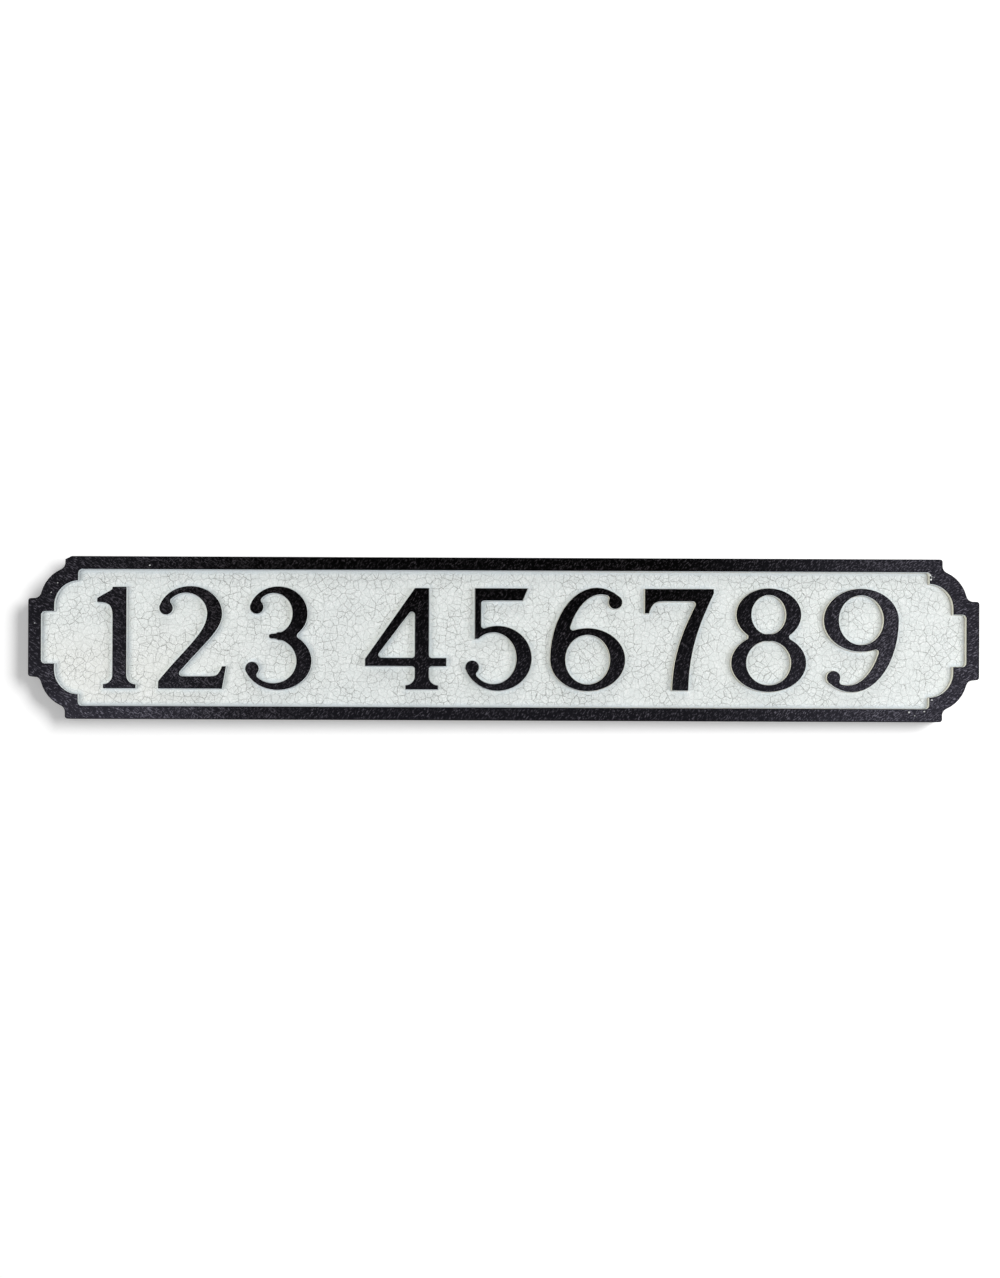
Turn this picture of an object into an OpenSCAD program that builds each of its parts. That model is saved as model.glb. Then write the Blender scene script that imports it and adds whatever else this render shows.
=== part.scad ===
// Hanging name board in the manner of an old street sign, cut from one board. The border and the
// numerals are what the router left standing when it lowered the panel, so the walls are upright,
// the numerals' inside corners have the cutter's radius and their outside corners are sharp. Two
// keyhole slots in the back take the heads of wall screws. The board is upright, with its back on
// the plane y = 0, its front towards -Y and the middle of its back at the origin.

/* [Board] */
// Length over the end tabs
board_l = 760; // [740:1:1000]
// Height of the tall middle stretch
board_h = 130; // [124:1:170]
// Thickness of the board
board_t = 15; // [14:0.5:25]
// Radius of the board's outside corners
corner_r = 2.2; // [1:0.1:3]

/* [Stepped ends] */
// How far the end tab stands out past the shoulder
tab_step = 9.5; // [7.5:0.5:13]
// How far the top of the tab lies below the top of the board
tab_drop = 33.7; // [31:0.1:36]
// How far the shoulder stands out past the tall middle stretch
shoulder_step = 20; // [16:0.5:24]
// How far the top of the shoulder lies below the top of the board
shoulder_drop = 8.1; // [6.5:0.1:10]
// Radius of the shoulder's round corner
shoulder_r = 28.2; // [27:0.1:31]
// Radius of the fillet on each side of the shoulder
fillet_r = 5.8; // [4:0.1:7]

/* [Panel] */
// Width of the border left round the panel
border_w = 10.3; // [8:0.1:13]
// Width of the border along the shoulder
shoulder_border_w = 11.3; // [9:0.1:14]
// Radius of the panel's round corner inside the shoulder
panel_r = 19.9; // [17:0.1:22]
// Radius of the panel's other corners, wider than the cutter's
panel_corner_r = 3.3; // [3:0.1:5]
// Depth of the panel below the border
relief = 5; // [3:0.5:6]
// Radius of the cutter, left in every inside corner of a numeral
cutter_r = 2.5; // [1.5:0.1:3]

/* [Numerals] */
// The number on the sign
number = "123 456789"; // [123 456789, 987 654321, 246 813579, 102 030405]
// Height of a numeral
numeral_h = 81; // [70:1:86]
// Width of an upright stem
stem_w = 11.2; // [9:0.1:13]
// Width of a bowl where it is heaviest
bowl_w = 12; // [10:0.1:14]
// Width of a stroke where it is lightest
thin_w = 5.2; // [4:0.1:7]
// Length of a stem's foot
foot_w = 26; // [22:0.5:30]
// Thickness of a foot at its tips
foot_t = 3.2; // [2.4:0.1:4.4]
// Radius of the round end of a bowl
ball_r = 5.4; // [4.6:0.1:6.4]
// Space between two numerals
numeral_gap = 14; // [8:0.5:17]
// Space between the two groups of numerals
word_gap = 42; // [30:1:50]
// How far the number sits to the left of the board's middle
number_shift = 4.6; // [0:0.1:8]

/* [Keyhole slots] */
// Distance between the two entry holes
keyhole_spacing = 560; // [300:1:640]
// Height of the entry holes above the board's middle
keyhole_height = 8; // [0:0.5:24]
// Radius of the entry hole, which a screw head passes through
entry_r = 4.75; // [4:0.05:5.5]
// Width of the neck that the screw's shank runs in
neck_w = 5; // [4.4:0.1:6]
// How far the shank runs up from the entry hole
neck_run = 14; // [11:0.5:20]
// Depth of the slot from the back of the board
keyhole_depth = 6.5; // [5.5:0.1:7]
// Thickness of the lip that the screw's head hooks behind
lip_t = 3; // [2:0.1:4]

/* [Wear] */
// Length of the piece knocked off the upper left corner, along the top edge
knock_l = 5.2; // [3.4:0.1:7]
// Height of that piece, down the end. Both take in the whole of the corner's radius.
knock_h = 2.6; // [2.4:0.1:4]

/* [Hidden] */
$fn = 72;

// How far a cutting shape runs past the face that it opens
overcut = 1;

// How far a fillet's circle runs into the shoulder's, so that the two cross in one clean point
fillet_bite = 0.01;

// Half sizes of the board and of the shoulder on each end
half_l = board_l / 2;
half_h = board_h / 2;
shoulder_x = half_l - tab_step;
shoulder_y = half_h - shoulder_drop;
tall_x = shoulder_x - shoulder_step;
tab_y = half_h - tab_drop;
shoulder_centre = [shoulder_x - shoulder_r, shoulder_y - shoulder_r];

// Centres of the two fillets beside a shoulder, right of and above the middle. Each is a fillet
// radius off its straight edge, and both radii, less the bite, away from the shoulder's centre.
fillet_reach = shoulder_r + fillet_r - fillet_bite;
upper_fillet_x = tall_x + fillet_r;
lower_fillet_y = tab_y + fillet_r;
upper_fillet = [upper_fillet_x,
    shoulder_centre[1] + sqrt(pow(fillet_reach, 2) - pow(upper_fillet_x - shoulder_centre[0], 2))];
lower_fillet = [
    shoulder_centre[0] + sqrt(pow(fillet_reach, 2) - pow(lower_fillet_y - shoulder_centre[1], 2)),
    lower_fillet_y];

// Numerals are laid out on a grid: its unit is a hundredth of their height
unit = numeral_h / 100;
// Width of each numeral from 0 to 9, in grid units
numeral_widths = [76, 40, 70, 68, 80, 68, 74, 70, 74, 74];
// How far round strokes pass the lines that the straight ones end on, in grid units
overshoot = 1;
// Turn between two points of a curve, in degrees
turn_step = 7.5;
// Number of steps along a free curve
curve_steps = 12;

// Plate about the origin with round corners
module rounded_plate(half_size, thickness, r) {
    inner = half_size - [r, r];
    linear_extrude(thickness) {
        square([2 * inner[0], 2 * half_size[1]], center = true);
        square([2 * half_size[0], 2 * inner[1]], center = true);
        for (sx = [-1, 1], sy = [-1, 1]) translate([sx * inner[0], sy * inner[1]]) circle(r = r);
    }
}

// The stepped plate: tall middle, shoulders and end tabs, each drawn in from the board's edge
module stepped_plate(thickness, inset, shoulder_inset, r, round_r) {
    rounded_plate([tall_x - inset, half_h - inset], thickness, r);
    rounded_plate([shoulder_x - shoulder_inset, shoulder_y - shoulder_inset], thickness, round_r);
    rounded_plate([half_l - inset, tab_y - inset], thickness, r);
}

module four_corners() {
    for (mx = [0, 1], my = [0, 1]) mirror([mx, 0, 0]) mirror([0, my, 0]) children();
}

// The corners beside the shoulders are filled, and the fillets' circles then cut back out
module blank() {
    difference() {
        union() {
            stepped_plate(board_t, 0, 0, corner_r, shoulder_r);
            four_corners() linear_extrude(board_t) {
                polygon([[tall_x, upper_fillet[1]], upper_fillet, shoulder_centre]);
                polygon([[lower_fillet[0], tab_y], lower_fillet, shoulder_centre]);
            }
        }
        four_corners() for (centre = [upper_fillet, lower_fillet])
            translate([centre[0], centre[1], -overcut]) cylinder(h = board_t + 2 * overcut, r = fillet_r);
        knock();
    }
}

// The piece knocked off the upper left corner
module knock() {
    translate([-tall_x, half_h, -overcut]) linear_extrude(board_t + 2 * overcut) polygon([
        [-overcut, overcut], [knock_l, overcut], [knock_l, 0], [0, -knock_h], [-overcut, -knock_h]
    ]);
}

// Points along the ellipse that fills a box [left, right, low, high] of grid units, clockwise from
// one angle to a smaller one
function bowl_edge(box, from, to) =
    let (
        centre = [box[0] + box[1], box[2] + box[3]] / 2,
        radii = [box[1] - box[0], box[3] - box[2]] / 2,
        steps = ceil((from - to) / turn_step)
    )
    [for (i = [0:steps]) let (a = from + (to - from) * i / steps)
        unit * [centre[0] + radii[0] * cos(a), centre[1] + radii[1] * sin(a)]];

// The box inside a bowl whose stroke has these widths on its left and right, and is thin above
// and below
function counter_box(box, left_w, right_w) =
    box + [left_w, -right_w, thin_w, -thin_w] / unit;

// Points of a free curve, from its four guide points in grid units
function curve(guide) =
    [for (i = [0:curve_steps]) let (t = i / curve_steps, s = 1 - t)
        unit * (s * s * s * guide[0] + 3 * s * s * t * guide[1] + 3 * s * t * t * guide[2]
            + t * t * t * guide[3])];

function backwards(points) = [for (i = [len(points) - 1:-1:0]) points[i]];

// Stretch of a bowl, thin on one side of its box and heavy on the other
module open_bowl(box, left_w, right_w, from, to) {
    polygon(concat(
        bowl_edge(box, from, to),
        backwards(bowl_edge(counter_box(box, left_w, right_w), from, to))
    ));
}

module closed_bowl(box) {
    difference() {
        polygon(bowl_edge(box, 360, 0));
        polygon(bowl_edge(counter_box(box, bowl_w, bowl_w), 360, 0));
    }
}

// Ball that ends a bowl: it touches the bowl's outer edge from inside at the given angle
module ball(box, angle) {
    pair = bowl_edge(box, angle, angle - turn_step);
    way = (pair[1] - pair[0]) / norm(pair[1] - pair[0]);
    translate(pair[0] + ball_r * [way[1], -way[0]]) circle(r = ball_r, $fn = 36);
}

// Upright stem on a foot whose brackets are quarter circles
module footed_stem(x) {
    reach = (foot_w - stem_w) / 2;
    bracket = [for (a = [0:turn_step:90])
        [foot_w / 2 - reach * sin(a), foot_t + reach * (1 - cos(a))]];
    translate([unit * x, 0]) {
        translate([-stem_w / 2, 0]) square([stem_w, numeral_h]);
        for (side = [0, 1]) mirror([side, 0])
            polygon(concat([[0, 0], [foot_w / 2, 0]], bracket, [[0, foot_t + reach]]));
    }
}

module numeral_0() {
    closed_bowl([0, 76, -overshoot, 100 + overshoot]);
}

module numeral_1() {
    stem_x = 22;
    edge_x = stem_x - stem_w / unit / 2;
    footed_stem(stem_x);
    polygon(concat(
        unit * [[stem_x, 70], [stem_x, 100], [edge_x + 4, 100], [0, 89]],
        curve([[0, 85], [edge_x - 4, 85], [edge_x, 83], [edge_x, 70]])
    ));
}

// The arch runs straight down where it meets the neck, so the neck's curves start straight down
module numeral_2() {
    arch = [3, 66, 47, 100 + overshoot];
    middle = (arch[2] + arch[3]) / 2;
    inside_x = counter_box(arch, thin_w, bowl_w)[1];
    ball(arch, 162);
    open_bowl(arch, thin_w, bowl_w, 162, 0);
    polygon(concat(
        curve([[66, middle], [66, 56], [44, 42], [17, 8]]),
        curve([[7, 12], [30, 40], [inside_x, 56], [inside_x, middle]])
    ));
    polygon(concat(
        unit * [[17, 8], [7, 12], [3, 7], [3, 0], [66, 0], [70, 22]],
        curve([[66, 22], [62, 12], [60, 12], [50, 12]]),
        unit * [[20, 12]]
    ));
}

module numeral_3() {
    upper = [5, 63, 48, 100 + overshoot];
    lower = [0, 67, -overshoot, 56];
    ball(upper, 160);
    open_bowl(upper, thin_w, bowl_w, 160, -90);
    ball(lower, -160);
    open_bowl(lower, thin_w, bowl_w, 90, -160);
    polygon(unit * [[25, 50.6], [29.3, 49.6], [36, 49], [36, 55], [29.8, 54.4], [25, 53.4]]);
}

module numeral_4() {
    footed_stem(56);
    polygon(unit * [[0, 23], [80, 23], [80, 31], [10, 31], [62, 100], [49, 100], [0, 30]]);
}

module numeral_5() {
    lower = [0, 67, -overshoot, 63];
    ball(lower, -160);
    open_bowl(lower, thin_w, bowl_w, 130, -160);
    polygon(unit * [[11, 50], [14.6, 50.6], [17, 54], [17, 88], [58, 88], [63, 100], [11, 100]]);
}

module numeral_6() {
    back = [0, 92, -41, 100 + overshoot];
    closed_bowl([0, 74, -overshoot, 61]);
    ball(back, 60);
    open_bowl(back, bowl_w, thin_w, 180, 60);
}

module numeral_7() {
    polygon(concat(
        curve([[70, 96], [56, 66], [46, 42], [45, 0]]),
        curve([[29, 0], [30, 40], [42, 64], [57, 94]])
    ));
    polygon(concat(
        unit * [[2, 76], [6, 76]],
        curve([[6, 76], [9, 86], [12, 88], [22, 88]]),
        unit * [[62, 88], [70, 96], [70, 100], [2, 100]]
    ));
}

module numeral_8() {
    closed_bowl([5, 69, 49, 100 + overshoot]);
    closed_bowl([0, 74, -overshoot, 56]);
}

module numeral_9() {
    translate(unit * [74, 100]) rotate(180) numeral_6();
}

module numeral(value) {
    if (value == 0) numeral_0();
    if (value == 1) numeral_1();
    if (value == 2) numeral_2();
    if (value == 3) numeral_3();
    if (value == 4) numeral_4();
    if (value == 5) numeral_5();
    if (value == 6) numeral_6();
    if (value == 7) numeral_7();
    if (value == 8) numeral_8();
    if (value == 9) numeral_9();
}

// Value of one character of the number, or undef at a space and past the end
function value_at(i) =
    let (value = is_undef(number[i]) ? undef : ord(number[i]) - ord("0"))
    is_undef(value) || value < 0 ? undef : value;

// Left edge of a character, from the start of the number
function start_of(i) =
    i == 0 ? 0
    : start_of(i - 1) + (is_undef(value_at(i - 1)) ? word_gap
        : unit * numeral_widths[value_at(i - 1)] + (is_undef(value_at(i)) ? 0 : numeral_gap));

// The whole number, with the cutter's radius in each inside corner
module number_outline() {
    count = len(number);
    translate([-start_of(count) / 2 - number_shift, -numeral_h / 2])
        for (i = [0:count - 1]) if (!is_undef(value_at(i)))
            translate([start_of(i), 0])
                offset(r = -cutter_r, $fn = 24) offset(delta = cutter_r) numeral(value_at(i));
}

// What the router takes out of the front: the panel, less the numerals
module panel_cut() {
    translate([0, 0, board_t - relief]) difference() {
        stepped_plate(relief + overcut, border_w, shoulder_border_w, panel_corner_r, panel_r);
        translate([0, 0, -overcut]) linear_extrude(relief + 3 * overcut) number_outline();
    }
}

// Keyhole slot in the back: an entry hole, a neck that runs up from it, and behind the lip a
// channel for the screw's head
module keyhole_cut() {
    translate([0, 0, -overcut]) {
        cylinder(h = keyhole_depth + overcut, r = entry_r);
        translate([-neck_w / 2, 0, 0]) cube([neck_w, neck_run, keyhole_depth + overcut]);
        translate([0, neck_run, 0]) cylinder(h = keyhole_depth + overcut, d = neck_w);
    }
    translate([-entry_r, 0, lip_t]) cube([2 * entry_r, neck_run, keyhole_depth - lip_t]);
    translate([0, neck_run, lip_t]) cylinder(h = keyhole_depth - lip_t, r = entry_r);
}

// Drawn lying on its back, then stood up
module sign_board() {
    rotate([90, 0, 0]) difference() {
        color("#26252a") blank();
        color("#dadedb") panel_cut();
        for (side = [-1, 1]) translate([side * keyhole_spacing / 2, keyhole_height, 0])
            color("#b2926a") keyhole_cut();
    }
}

sign_board();
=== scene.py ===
"""Looks of a routed name board: black crackle paint rolled over the raised border and numerals,
off-white crackle paint in the sunk panel and on its walls, and raw board behind.

The board's outline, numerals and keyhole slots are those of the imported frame. Here its arrises are
eased and the paint is pooled at the foot of each wall, by a profile that is carried along the
frame's own contours. Lengths are in metres unless a name ends in _mm.
"""

import functools
import logging
import math
from dataclasses import dataclass, field
from enum import IntEnum

import bmesh
import bpy
import numpy as np
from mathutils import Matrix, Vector
from mathutils.geometry import delaunay_2d_cdt


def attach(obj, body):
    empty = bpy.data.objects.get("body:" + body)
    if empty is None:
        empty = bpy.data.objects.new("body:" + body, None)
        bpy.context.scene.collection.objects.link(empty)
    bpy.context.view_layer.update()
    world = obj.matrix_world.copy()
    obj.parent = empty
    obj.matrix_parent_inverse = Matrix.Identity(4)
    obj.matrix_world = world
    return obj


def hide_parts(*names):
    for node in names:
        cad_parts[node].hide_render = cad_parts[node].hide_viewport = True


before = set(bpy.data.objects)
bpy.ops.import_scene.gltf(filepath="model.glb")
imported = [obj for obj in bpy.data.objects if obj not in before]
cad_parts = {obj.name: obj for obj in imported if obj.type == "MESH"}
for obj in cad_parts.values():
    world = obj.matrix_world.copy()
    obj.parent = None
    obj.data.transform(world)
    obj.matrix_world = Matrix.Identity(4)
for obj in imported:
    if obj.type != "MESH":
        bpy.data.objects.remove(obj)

log = logging.getLogger("name_board")
MM = 0.001
SHARP_DEG = 35.0  # faces that meet at more than this keep a sharp edge
SAME_POINT = 1e-9  # distance at which two points of a flat stretch count as one
BATCH = 1000  # how many places are measured at once, which keeps the arrays small
FINER_SHARE = 0.58  # how strong each finer layer of noise is against the one before
NOISE_MIDDLE = (0.5, 0.5, 0.5)  # what coloured noise lies round
PURE_WHITE = (1.0, 1.0, 1.0, 1.0)
Socket = bpy.types.NodeSocket
Tree = bpy.types.NodeTree
Span = tuple[float, ...]  # a fade's start and end, and its levels there if they aren't 0 and 1
Rim = tuple[np.ndarray, np.ndarray]  # numbers of a rim's points, and of those that follow them


class Paint(IntEnum):
    """The board's finishes, in the order of its material slots."""

    BLACK = 0
    WHITE = 1
    RAW = 2


def linear(hex_colour: str) -> tuple[float, float, float, float]:
    """Turns an sRGB hex colour into Blender's linear one.

    Args:
        hex_colour: six hex digits after a #.

    Returns:
        Red, green, blue and an alpha of 1.
    """
    values = [int(hex_colour[i : i + 2], 16) / 255 for i in (1, 3, 5)]
    return (*[v / 12.92 if v <= 0.04045 else ((v + 0.055) / 1.055) ** 2.4 for v in values], 1.0)


def add_node(tree: Tree, kind: str, inputs: dict | None = None, **settings) -> bpy.types.Node:
    """Adds a node with its settings, and fills its inputs with values or links.

    Args:
        tree: the node tree to add to.
        kind: the node's Blender type.
        inputs: socket name or number, to a value or to the socket that feeds it.
        settings: the node's own properties.

    Returns:
        The new node.
    """
    node = tree.nodes.new(kind)
    for name, value in settings.items():
        setattr(node, name, value)
    for key, value in (inputs or {}).items():
        if isinstance(value, Socket):
            tree.links.new(value, node.inputs[key])
        else:
            node.inputs[key].default_value = value
    return node


def sum_of(tree: Tree, operation: str, *values: Socket | float) -> Socket:
    """Adds one step of arithmetic on numbers, such as ADD, and gives its result."""
    return add_node(tree, "ShaderNodeMath", dict(enumerate(values)), operation=operation).outputs[0]


def vector_of(tree: Tree, operation: str, *values: Socket | tuple) -> Socket:
    """Adds one step of arithmetic on vectors and gives its result, a number for LENGTH."""
    node = add_node(tree, "ShaderNodeVectorMath", dict(enumerate(values)), operation=operation)
    return node.outputs["Value" if operation == "LENGTH" else "Vector"]


def parts_of(tree: Tree, vector: Socket) -> tuple[Socket, Socket, Socket]:
    """Splits a vector into its three numbers."""
    return tuple(add_node(tree, "ShaderNodeSeparateXYZ", {0: vector}).outputs)


def mark_of(tree: Tree, name: str) -> Socket:
    """Reads one of the mesh's own marks, such as how far a point lies from a wall."""
    return add_node(tree, "ShaderNodeAttribute", attribute_name=name).outputs["Fac"]


def fade(tree: Tree, value: Socket, start: float, end: float, low: float = 0.0,
         high: float = 1.0) -> Socket:
    """Maps a value smoothly.

    Args:
        tree: the node tree.
        value: what is mapped.
        start, end: the values that give low and high. Beyond them the result stays.
        low, high: the results.

    Returns:
        The mapped value.
    """
    return add_node(tree, "ShaderNodeMapRange", {
        "Value": value, "From Min": start, "From Max": end, "To Min": low, "To Max": high,
    }, interpolation_type="SMOOTHSTEP").outputs[0]


def blend(tree: Tree, share: Socket | float, first: Socket | str, second: Socket | str) -> Socket:
    """Mixes two colours.

    Args:
        tree: the node tree.
        share: how much of the second colour shows.
        first, second: hex colours or sockets.

    Returns:
        The mixed colour.
    """
    colours = [linear(c) if isinstance(c, str) else c for c in (first, second)]
    inputs = {0: share, 6: colours[0], 7: colours[1]}
    return add_node(tree, "ShaderNodeMix", inputs, data_type="RGBA").outputs[2]


def mottle(tree: Tree, place: Socket, size_mm: float, detail: float = 2.0,
           output: str = "Fac") -> Socket:
    """Adds soft noise.

    Args:
        tree: the node tree.
        place: where, in millimetres.
        size_mm: how large its blotches are.
        detail: how many finer layers it has.
        output: Fac for a level round 0.5, Color for three of them.

    Returns:
        The noise.
    """
    inputs = {"Vector": place, "Scale": 1 / size_mm, "Detail": detail, "Roughness": FINER_SHARE}
    return add_node(tree, "ShaderNodeTexNoise", inputs).outputs[output]


def shaken(tree: Tree, place: Socket, size_mm: float, reach_mm: float,
           detail: float = 2.0) -> Socket:
    """Pushes places about, so that what is drawn there bends.

    Args:
        tree: the node tree.
        place: the places, in millimetres.
        size_mm: the length of a bend.
        reach_mm: how far a place is pushed at most.
        detail: how many finer bends there are.

    Returns:
        The pushed places.
    """
    noise = mottle(tree, place, size_mm, detail, "Color")
    level = vector_of(tree, "SUBTRACT", noise, NOISE_MIDDLE)
    return vector_of(tree, "MULTIPLY_ADD", level, (2 * reach_mm,) * 3, place)


def drawn_out(tree: Tree, place: Socket, turn_deg: float, sizes_mm: tuple,
              middle_mm: tuple = (0, 0, 0)) -> Socket:
    """Measures places along turned axes, in units of their own, so that what is drawn there is
    long one way and narrow the other.

    Args:
        tree: the node tree.
        place: the places, in millimetres.
        turn_deg: how far the first axis is turned up from the horizontal.
        sizes_mm: the length of a unit along each axis.
        middle_mm: where the axes meet.

    Returns:
        The measured places.
    """
    turn = (0, -math.radians(turn_deg), 0)
    inputs = {"Vector": place, "Location": middle_mm, "Rotation": turn, "Scale": sizes_mm}
    return add_node(tree, "ShaderNodeMapping", inputs, vector_type="TEXTURE").outputs[0]


def start_material(name: str) -> tuple[bpy.types.Material, Tree, Socket]:
    """Makes an empty node material.

    Args:
        name: what the finish is.

    Returns:
        The material, its node tree, and the place on the object in millimetres.
    """
    material = bpy.data.materials.new(name)
    material.use_nodes = True
    tree = material.node_tree
    tree.nodes.clear()
    place = add_node(tree, "ShaderNodeTexCoord").outputs["Object"]
    return material, tree, vector_of(tree, "MULTIPLY", place, (1 / MM,) * 3)


def finish_material(tree: Tree, colour: Socket, roughness: float, specular: float, height: Socket,
                    depth_mm: float) -> None:
    """Ends a material with its surface.

    Args:
        tree: the node tree.
        colour: the base colour.
        roughness: the shader's roughness.
        specular: the shader's specular level, where 0.5 is bare plastic.
        height: the relief that bends the light, from 0 to about 1.
        depth_mm: what a height of 1 stands for.
    """
    relief = {"Height": height, "Strength": 1.0, "Distance": depth_mm * MM}
    shader = add_node(tree, "ShaderNodeBsdfPrincipled", {
        "Base Color": colour,
        "Normal": add_node(tree, "ShaderNodeBump", relief).outputs[0],
        "Roughness": roughness,
        "Specular IOR Level": specular,
    })
    add_node(tree, "ShaderNodeOutputMaterial", {"Surface": shader.outputs[0]})


@dataclass(frozen=True)
class Speck:
    """A fleck, chip or scratch at a place on the front of the board, in millimetres.

    Attributes:
        x_mm, z_mm: its middle, in the board's frame.
        long_mm, high_mm: its length and height.
        turn_deg: how far its length is turned up from the horizontal.
        strength: how much of the coat below it bares.
        through_mm: its length into the board, so long that it doesn't end in the coat.
        soft_rim: where its rim ends and begins, as a share of its half size.
    """

    x_mm: float
    z_mm: float
    long_mm: float
    high_mm: float
    turn_deg: float = 0.0
    strength: float = 1.0
    through_mm: float = 200.0
    soft_rim: Span = (1.25, 0.75)

    def mask(self, tree: Tree, place: Socket) -> Socket:
        """Draws the speck as an ellipse.

        Args:
            tree: the node tree.
            place: where, in millimetres.

        Returns:
            Its strength inside, and 0 outside.
        """
        halves = (self.long_mm / 2, self.through_mm / 2, self.high_mm / 2)
        own = drawn_out(tree, place, self.turn_deg, halves, (self.x_mm, 0, self.z_mm))
        return fade(tree, vector_of(tree, "LENGTH", own), *self.soft_rim, high=self.strength)


@dataclass(frozen=True)
class CrackLayer:
    """One layer of cracks in the off-white paint.

    Attributes:
        island_mm: size of the islands between them.
        half_mm: half the width of a crack.
        strength: how dark a crack is.
        missing: the noise level up to which a stretch of crack is missing.
    """

    island_mm: float
    half_mm: float
    strength: float
    missing: float


@dataclass(frozen=True)
class WhiteCrackle:
    """Off-white emulsion over a crackle medium: it dries into small islands between thin cracks
    that let the grey-beige coat below show, so the eye sees a fine craquelure on a nearly matt
    ground. Where the paint lies thick along the walls it has few cracks.

    Attributes:
        paint, pale_paint, warm_paint, cool_paint: the top coat, its thicker dabs, and its warmer
            and cooler patches.
        crack: the coat that shows in the cracks.
        foot, warm_foot: dirt and painted shade in the crease where paint has pooled at a wall's foot.
        shade_wall, warm_shade_wall: painted shade, cooler on walls facing down, warmer facing left.
        shade_strip_paint: painted shade, a duller coat in the bands beside the two long walls.
        cracks: the layers of cracks, coarse to fine.
        crack_core: share of a crack's width that is fully dark.
        crack_ends: how much noise level it takes for a crack to fade in.
        gap_size: size of the stretches where a crack is missing, in islands.
        layer_shift_mm: how far each layer is moved on, so that it has cells of its own.
        bends_mm: for the long and the short bends of a crack, their length and their reach.
        shore_mm: how cracks come up with the distance from a wall.
        calm_mm, calm: size of the stretches with faint cracks, and their span of the noise.
        cool_mm, cool, cool_shade_shore_mm: size of the cool patches, their span of the noise,
        and how they gather towards a wall as painted shade.
        warm_x_mm, warm_z_mm, warm_shore_mm: how the warm patch at the lower left comes up along
            the board, down it and away from a wall.
        dab_mm, dabs: size of the pale dabs, and their span of the noise.
        shade_strip_mm: how the painted shade comes up with the height above or below the middle.
        turned: how the painted shade on a wall comes up as a face's normal turns down or left.
        grime_and_shade, grime_and_shade_x_mm: how noise breaks up the foot line, and where it warms.
        grain_relief, relief_mm: height of the grain against the cracks' depth, and that depth.
        roughness, specular: the shader's, for matt emulsion.
    """

    paint: str = "#dfe4e2"
    pale_paint: str = "#f2f4f3"
    warm_paint: str = "#e3e5e1"
    cool_paint: str = "#d8e0e3"
    crack: str = "#8d8f8c"
    foot: str = "#b4b8bb"
    warm_foot: str = "#b3aea2"
    shade_wall: str = "#e0e6ec"
    warm_shade_wall: str = "#f0eddc"
    shade_strip_paint: str = "#c6cdd0"
    cracks: tuple[CrackLayer, ...] = (
        CrackLayer(6.2, 0.3, 0.92, 0.14),
        CrackLayer(3.8, 0.25, 0.55, 0.36),
        CrackLayer(2.5, 0.22, 0.3, 0.46),
    )
    crack_core: float = 0.2
    crack_ends: float = 0.12
    gap_size: float = 0.9
    layer_shift_mm: tuple[float, float, float] = (37.0, 11.0, 5.0)
    bends_mm: tuple[tuple[float, float], ...] = ((5.0, 1.7), (1.8, 0.68))
    shore_mm: Span = (0.8, 3.6, 0.12, 1.0)
    calm_mm: float = 22.0
    calm: Span = (0.35, 0.6, 0.45, 1.0)
    cool_mm: float = 30.0
    cool: Span = (0.62, 0.4)
    cool_shade_shore_mm: Span = (5.0, 1.0, 0.1, 0.8)
    warm_x_mm: Span = (-150.0, -330.0)
    warm_z_mm: Span = (25.0, -25.0)
    warm_shore_mm: Span = (1.0, 6.0)
    dab_mm: float = 1.3
    dabs: Span = (0.46, 0.66, 0.0, 0.8)
    shade_strip_mm: Span = (50.5, 54.0, 0.0, 0.7)
    turned: Span = (-0.3, -0.9)
    grime_and_shade: Span = (0.3, 0.6, 0.3, 0.85)
    grime_and_shade_x_mm: Span = (-60.0, 120.0)
    grain_relief: float = 0.12
    relief_mm: float = 0.05
    roughness: float = 0.6
    specular: float = 0.2

    def crack_lines(self, tree: Tree, place: Socket) -> Socket:
        """Draws the cracks: the edges of warped cells, which fade in and out along their length.

        Args:
            tree: the node tree.
            place: where, in millimetres.

        Returns:
            A level from 0 on an island to 1 in a crack.
        """
        bent = place
        for length, reach in self.bends_mm:
            bent = shaken(tree, bent, length, reach)
        total = None
        for number, layer in enumerate(self.cracks):
            shift = tuple(number * step for step in self.layer_shift_mm)
            spot = vector_of(tree, "ADD", bent, shift)
            cells = {"Vector": spot, "Scale": 1 / layer.island_mm}
            edge = add_node(tree, "ShaderNodeTexVoronoi", cells, voronoi_dimensions="2D",
                            feature="DISTANCE_TO_EDGE").outputs["Distance"]
            half = layer.half_mm / layer.island_mm
            line = fade(tree, edge, half, self.crack_core * half, high=layer.strength)
            level = mottle(tree, spot, self.gap_size * layer.island_mm)
            there = fade(tree, level, layer.missing, layer.missing + self.crack_ends)
            line = sum_of(tree, "MULTIPLY", line, there)
            total = line if total is None else sum_of(tree, "MAXIMUM", total, line)
        return total

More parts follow.
